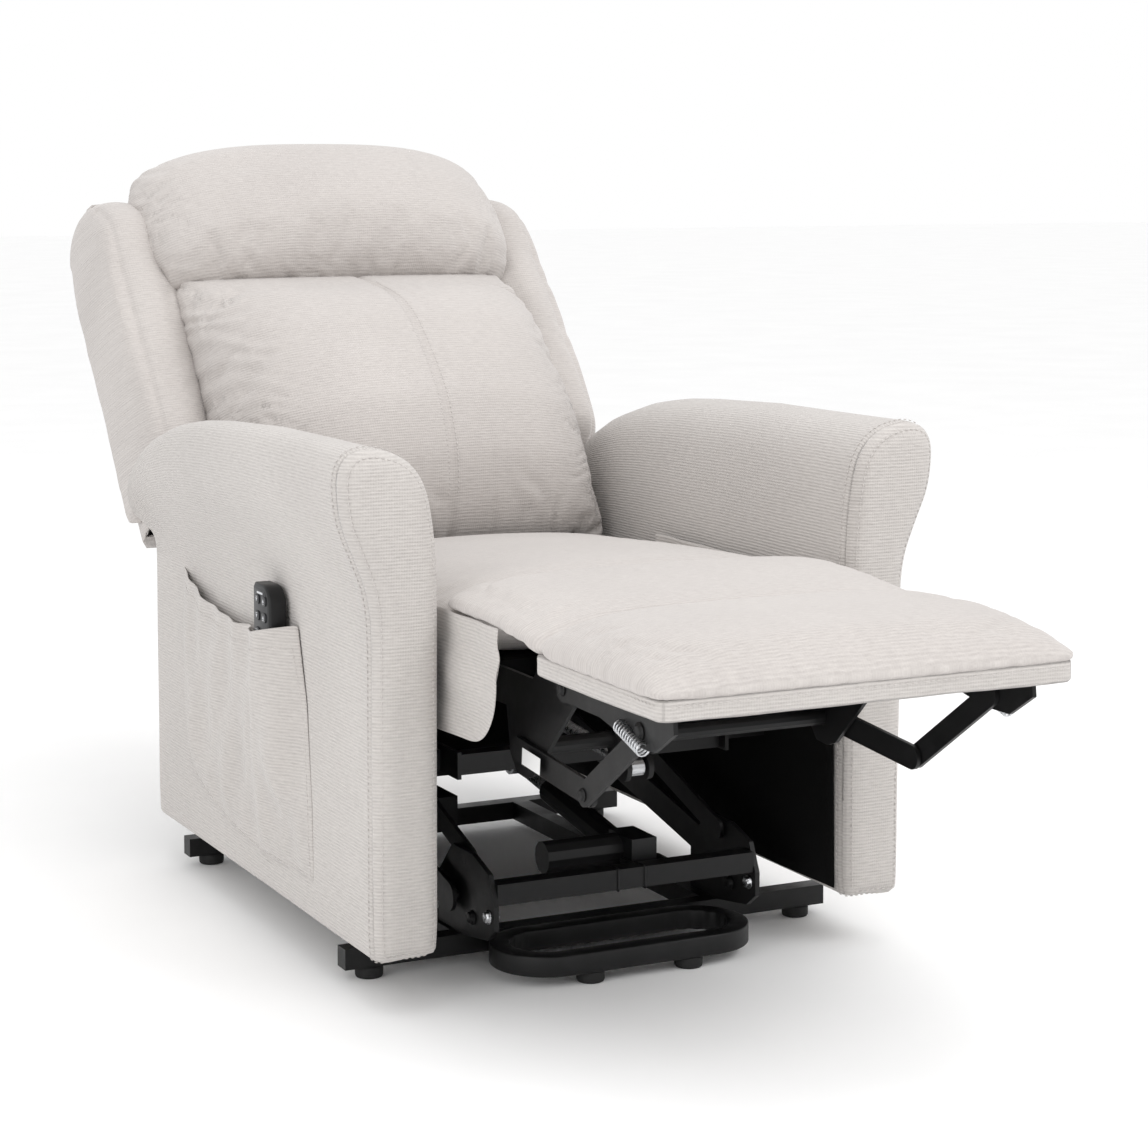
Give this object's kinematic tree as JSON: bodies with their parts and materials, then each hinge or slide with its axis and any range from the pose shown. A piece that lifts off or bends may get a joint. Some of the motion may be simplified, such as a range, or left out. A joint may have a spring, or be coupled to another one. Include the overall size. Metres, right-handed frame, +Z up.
{
  "type": "lift recliner chair",
  "caption": "Powered lift recliner chair, reclined with footrest out, padded arms, headrest pillow, side pocket with hand control and a tilting steel lift base.",
  "frame": {"origin": "on the floor under the middle of the reclined chair", "axes": "+Z up, -Y towards the footrest, +X towards the sitter's left arm"},
  "size_m": [0.784, 1.7622, 0.9793],
  "materials": {
    "upholstery": "ribbed warm grey chenille weave",
    "steel": "satin black powder coat",
    "zinc": "bright zinc",
    "foot_rubber": "matt black",
    "motor_plastic": "fine moulded texture",
    "handset_plastic": "fine moulded texture",
    "button_plastic": "satin"
  },
  "bodies": {
    "base": {"base_frame": "steel", "front_loop_tube": "steel", "foot_front_right": "foot_rubber", "foot_front_left": "foot_rubber", "foot_rear_right": "foot_rubber", "foot_rear_left": "foot_rubber", "foot_loop_right": "foot_rubber", "foot_loop_left": "foot_rubber", "base_plate_right": "steel", "base_plate_left": "steel", "base_upper_tube": "steel", "power_unit": "motor_plastic"},
    "lift_arms": {"lift_arm_right": "steel", "lift_arm_left": "steel", "lift_cross_tube": "steel"},
    "guide_links": {"guide_link_right": "steel", "guide_link_left": "steel"},
    "lift_actuator": {"lift_motor": "motor_plastic"},
    "lift_rod": {"lift_rod": "zinc"},
    "chair_frame": {"frame_rail_right": "steel", "frame_rail_left": "steel", "frame_front_tube": "steel", "frame_rear_tube": "steel", "arm_right": "upholstery", "arm_front_right": "upholstery", "arm_left": "upholstery", "arm_front_left": "upholstery", "handset_pocket": "upholstery"},
    "seat": {"seat_frame": "steel", "seat_cushion": "upholstery", "chaise_pad": "upholstery", "seat_skirt_right": "upholstery", "seat_skirt_left": "upholstery"},
    "backrest": {"back_rear_cover": "upholstery", "back_frame": "steel", "back_cushion": "upholstery", "headrest": "upholstery", "back_wing_right": "upholstery", "back_wing_left": "upholstery"},
    "recline_actuator": {"recline_motor": "motor_plastic"},
    "recline_rod": {"recline_rod": "zinc"},
    "footrest": {"footrest_board": "upholstery", "footrest_pad": "upholstery", "footrest_bracket_right": "steel", "footrest_bracket_left": "steel"},
    "footrest_drive": {"drive_link_right": "steel", "drive_link_left": "steel", "drive_tube": "steel"},
    "outer_links": {"outer_link_right": "steel", "outer_link_left": "steel"},
    "footrest_actuator": {"footrest_motor": "motor_plastic"},
    "footrest_rod": {"footrest_rod": "zinc"},
    "handset": {"handset": "handset_plastic"},
    "button_1a": {"button_1a": "button_plastic"},
    "button_1b": {"button_1b": "button_plastic"},
    "button_2a": {"button_2a": "button_plastic"},
    "button_2b": {"button_2b": "button_plastic"},
    "button_3a": {"button_3a": "button_plastic"},
    "button_3b": {"button_3b": "button_plastic"}
  },
  "joints": [
    {"name": "lift_raise", "type": "hinge", "parent": "base", "child": "lift_arms", "pos_m": [0, -0.23509, 0.084], "axis": [1, 0, 0], "range_deg": [0, 36]},
    {"name": "chair_tilt", "type": "hinge", "parent": "lift_arms", "child": "chair_frame", "pos_m": [0, 0.2589, 0.19], "axis": [1, 0, 0], "range_deg": [-14.01, 0]},
    {"name": "guide_swing", "type": "hinge", "parent": "base", "child": "guide_links", "pos_m": [0, -0.2551, 0.132], "axis": [1, 0, 0], "range_deg": [0, 42.3]},
    {"name": "lift_motor_swing", "type": "hinge", "parent": "base", "child": "lift_actuator", "pos_m": [0, -0.3011, 0.108], "axis": [1, 0, 0], "range_deg": [0, 31.06]},
    {"name": "lift_rod_slide", "type": "slide", "parent": "lift_actuator", "child": "lift_rod", "axis": [0, 0.9883, 0.1523], "range_m": [-0.03034, 0]},
    {"name": "seat_glide", "type": "slide", "parent": "chair_frame", "child": "seat", "axis": [0, 1, 0], "range_m": [0, 0.06003]},
    {"name": "back_recline", "type": "hinge", "parent": "seat", "child": "backrest", "pos_m": [0, 0.2239, 0.425], "axis": [1, 0, 0], "range_deg": [0, 28]},
    {"name": "recline_motor_swing", "type": "hinge", "parent": "seat", "child": "recline_actuator", "pos_m": [0, -0.0811, 0.322], "axis": [1, 0, 0], "range_deg": [0, 3.99]},
    {"name": "recline_rod_slide", "type": "slide", "parent": "recline_actuator", "child": "recline_rod", "axis": [0, 0.9997, 0.0235], "range_m": [0, 0.04209]},
    {"name": "footrest_fold", "type": "hinge", "parent": "seat", "child": "footrest", "pos_m": [0, -0.6031, 0.404], "axis": [1, 0, 0], "range_deg": [0, 88]},
    {"name": "drive_link_swing", "type": "hinge", "parent": "seat", "child": "footrest_drive", "pos_m": [0, -0.46109, 0.31], "axis": [1, 0, 0], "range_deg": [0, 87.06]},
    {"name": "outer_link_swing", "type": "hinge", "parent": "footrest_drive", "child": "outer_links", "pos_m": [0, -0.64058, 0.29632], "axis": [1, 0, 0], "range_deg": [-87.05, 0]},
    {"name": "footrest_motor_swing", "type": "hinge", "parent": "seat", "child": "footrest_actuator", "pos_m": [0, 0.0339, 0.322], "axis": [1, 0, 0], "range_deg": [0, 0.5223]},
    {"name": "footrest_rod_slide", "type": "slide", "parent": "footrest_actuator", "child": "footrest_rod", "axis": [0, -0.9969, -0.0782], "range_m": [-0.05487, 0]},
    {"name": "handset_lift", "type": "slide", "parent": "chair_frame", "child": "handset", "axis": [0, 0, 1], "range_m": [0, 0.02]},
    {"name": "button_1a_press", "type": "slide", "parent": "handset", "child": "button_1a", "axis": [1, 0, 0], "range_m": [0, 0.0012], "stiffness_N_per_m": 600, "springref_m": -0.0006},
    {"name": "button_1b_press", "type": "slide", "parent": "handset", "child": "button_1b", "axis": [1, 0, 0], "range_m": [0, 0.0012], "stiffness_N_per_m": 600, "springref_m": -0.0006},
    {"name": "button_2a_press", "type": "slide", "parent": "handset", "child": "button_2a", "axis": [1, 0, 0], "range_m": [0, 0.0012], "stiffness_N_per_m": 600, "springref_m": -0.0006},
    {"name": "button_2b_press", "type": "slide", "parent": "handset", "child": "button_2b", "axis": [1, 0, 0], "range_m": [0, 0.0012], "stiffness_N_per_m": 600, "springref_m": -0.0006},
    {"name": "button_3a_press", "type": "slide", "parent": "handset", "child": "button_3a", "axis": [1, 0, 0], "range_m": [0, 0.0012], "stiffness_N_per_m": 600, "springref_m": -0.0006},
    {"name": "button_3b_press", "type": "slide", "parent": "handset", "child": "button_3b", "axis": [1, 0, 0], "range_m": [0, 0.0012], "stiffness_N_per_m": 600, "springref_m": -0.0006}
  ],
  "couplings": [
    {"joint": "chair_tilt", "follows": "lift_raise", "ratio": -0.38889},
    {"joint": "guide_swing", "follows": "lift_raise", "ratio": 1.1744},
    {"joint": "lift_motor_swing", "follows": "lift_raise", "ratio": 0.86223},
    {"joint": "lift_rod_slide", "follows": "lift_raise", "m_per_rad": -0.048257},
    {"joint": "seat_glide", "follows": "back_recline", "m_per_rad": 0.12278},
    {"joint": "recline_motor_swing", "follows": "back_recline", "ratio": 0.1425},
    {"joint": "recline_rod_slide", "follows": "back_recline", "m_per_rad": 0.086079},
    {"joint": "drive_link_swing", "follows": "footrest_fold", "ratio": 0.98886},
    {"joint": "outer_link_swing", "follows": "footrest_fold", "ratio": -0.98868},
    {"joint": "footrest_motor_swing", "follows": "footrest_fold", "ratio": 0.0059323},
    {"joint": "footrest_rod_slide", "follows": "footrest_fold", "m_per_rad": -0.035709}
  ]
}
